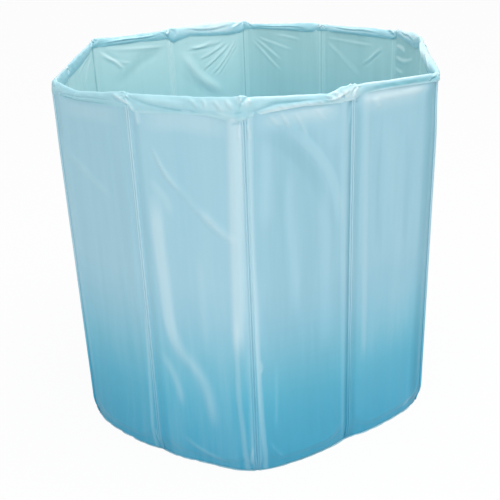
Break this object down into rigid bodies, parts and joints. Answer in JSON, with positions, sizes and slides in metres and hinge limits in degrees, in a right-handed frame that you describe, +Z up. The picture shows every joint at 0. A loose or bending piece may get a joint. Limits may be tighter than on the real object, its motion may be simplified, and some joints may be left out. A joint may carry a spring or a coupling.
{
  "type": "folding bath tub",
  "caption": "Free-standing folding cold-water bath: stiff boards in welded PVC pockets, hinged in a ring along their weld lines, with a hemmed rim, flat floor sheet and screw-capped drain.",
  "frame": {"origin": "under the middle of the whole tub, drain cap included, on the surface it stands on", "axes": "+Z up; +X out along the drain's axis; +Y along the drain's panel"},
  "size_m": [0.7478, 0.8286, 0.7],
  "materials": {
    "outer_pvc": "soft gloss PVC, pale blue",
    "inner_pvc": "soft gloss PVC, aqua",
    "hem_pvc": "soft gloss PVC, pale aqua",
    "board": "smooth matt board",
    "floor_pvc": "soft gloss PVC, teal blue",
    "drain_body": "moulded plastic, white",
    "cap_body": "moulded plastic, blue",
    "seal_rubber": "soft rubber, black"
  },
  "bodies": {
    "panel_02_and_floor": {"board_02": "board", "outer_skin_02": "outer_pvc", "inner_skin_02": "inner_pvc", "rim_hem_02": "hem_pvc", "floor_sheet": "floor_pvc"},
    "panel_03": {"board_03": "board", "outer_skin_03": "outer_pvc", "inner_skin_03": "inner_pvc", "rim_hem_03": "hem_pvc"},
    "panel_04": {"board_04": "board", "outer_skin_04": "outer_pvc", "inner_skin_04": "inner_pvc", "rim_hem_04": "hem_pvc"},
    "panel_05": {"board_05": "board", "outer_skin_05": "outer_pvc", "inner_skin_05": "inner_pvc", "rim_hem_05": "hem_pvc"},
    "panel_06": {"board_06": "board", "outer_skin_06": "outer_pvc", "inner_skin_06": "inner_pvc", "rim_hem_06": "hem_pvc", "drain_spout": "drain_body", "drain_gasket": "seal_rubber", "drain_nut": "drain_body"},
    "panel_07": {"board_07": "board", "outer_skin_07": "outer_pvc", "inner_skin_07": "inner_pvc", "rim_hem_07": "hem_pvc"},
    "panel_08": {"board_08": "board", "outer_skin_08": "outer_pvc", "inner_skin_08": "inner_pvc", "rim_hem_08": "hem_pvc"},
    "panel_01": {"board_01": "board", "outer_skin_01": "outer_pvc", "inner_skin_01": "inner_pvc", "rim_hem_01": "hem_pvc"},
    "panel_12": {"board_12": "board", "outer_skin_12": "outer_pvc", "inner_skin_12": "inner_pvc", "rim_hem_12": "hem_pvc"},
    "panel_11": {"board_11": "board", "outer_skin_11": "outer_pvc", "inner_skin_11": "inner_pvc", "rim_hem_11": "hem_pvc"},
    "panel_10": {"board_10": "board", "outer_skin_10": "outer_pvc", "inner_skin_10": "inner_pvc", "rim_hem_10": "hem_pvc"},
    "panel_09": {"board_09": "board", "outer_skin_09": "outer_pvc", "inner_skin_09": "inner_pvc", "rim_hem_09": "hem_pvc"},
    "drain_cap_seal": {"drain_cap_seal": "seal_rubber"},
    "drain_cap": {"drain_cap": "cap_body"}
  },
  "joints": [
    {"name": "weld_hinge_02_03", "type": "hinge", "parent": "panel_02_and_floor", "child": "panel_03", "pos_m": [-0.05351, -0.40788, 0.35], "axis": [0, 0, 1], "range_deg": [0, 110]},
    {"name": "weld_hinge_03_04", "type": "hinge", "parent": "panel_03", "child": "panel_04", "pos_m": [0.13059, -0.32973, 0.35], "axis": [0, 0, 1], "range_deg": [-163, 0]},
    {"name": "weld_hinge_04_05", "type": "hinge", "parent": "panel_04", "child": "panel_05", "pos_m": [0.30202, -0.22673, 0.35], "axis": [0, 0, 1], "range_deg": [0, 110]},
    {"name": "weld_hinge_05_06", "type": "hinge", "parent": "panel_05", "child": "panel_06", "pos_m": [0.33331, -0.02919, 0.35], "axis": [0, 0, 1], "range_deg": [0, 11]},
    {"name": "weld_hinge_06_07", "type": "hinge", "parent": "panel_06", "child": "panel_07", "pos_m": [0.33331, 0.17081, 0.35], "axis": [0, 0, 1], "range_deg": [0, 112]},
    {"name": "weld_hinge_07_08", "type": "hinge", "parent": "panel_07", "child": "panel_08", "pos_m": [0.19691, 0.31708, 0.35], "axis": [0, 0, 1], "range_deg": [-180, 0]},
    {"name": "weld_hinge_02_01", "type": "hinge", "parent": "panel_02_and_floor", "child": "panel_01", "pos_m": [-0.23171, -0.31708, 0.35], "axis": [0, 0, 1], "range_deg": [0, 180]},
    {"name": "weld_hinge_01_12", "type": "hinge", "parent": "panel_01", "child": "panel_12", "pos_m": [-0.36811, -0.17081, 0.35], "axis": [0, 0, 1], "range_deg": [-112, 0]},
    {"name": "weld_hinge_12_11", "type": "hinge", "parent": "panel_12", "child": "panel_11", "pos_m": [-0.36811, 0.02919, 0.35], "axis": [0, 0, 1], "range_deg": [-11, 0]},
    {"name": "weld_hinge_11_10", "type": "hinge", "parent": "panel_11", "child": "panel_10", "pos_m": [-0.33682, 0.22673, 0.35], "axis": [0, 0, 1], "range_deg": [-110, 0]},
    {"name": "weld_hinge_10_09", "type": "hinge", "parent": "panel_10", "child": "panel_09", "pos_m": [-0.16539, 0.32973, 0.35], "axis": [0, 0, 1], "range_deg": [0, 163]},
    {"name": "drain_cap_travel", "type": "slide", "parent": "panel_06", "child": "drain_cap_seal", "axis": [1, 0, 0], "range_m": [0, 0.009]},
    {"name": "drain_cap_turn", "type": "hinge", "parent": "drain_cap_seal", "child": "drain_cap", "pos_m": [0.36, 0.07081, 0.062], "axis": [1, 0, 0], "range_deg": [0, 1080]}
  ],
  "couplings": [
    {"joint": "weld_hinge_03_04", "follows": "weld_hinge_02_03", "ratio": -1.4818},
    {"joint": "weld_hinge_04_05", "follows": "weld_hinge_02_03", "ratio": 1},
    {"joint": "weld_hinge_05_06", "follows": "weld_hinge_02_03", "ratio": 0.1},
    {"joint": "weld_hinge_06_07", "follows": "weld_hinge_02_03", "ratio": 1.0182},
    {"joint": "weld_hinge_07_08", "follows": "weld_hinge_02_03", "ratio": -1.6364},
    {"joint": "weld_hinge_02_01", "follows": "weld_hinge_02_03", "ratio": 1.6364},
    {"joint": "weld_hinge_01_12", "follows": "weld_hinge_02_03", "ratio": -1.0182},
    {"joint": "weld_hinge_12_11", "follows": "weld_hinge_02_03", "ratio": -0.1},
    {"joint": "weld_hinge_11_10", "follows": "weld_hinge_02_03", "ratio": -1},
    {"joint": "weld_hinge_10_09", "follows": "weld_hinge_02_03", "ratio": 1.4818},
    {"joint": "drain_cap_travel", "follows": "drain_cap_turn", "m_per_rad": 0.00047746}
  ]
}
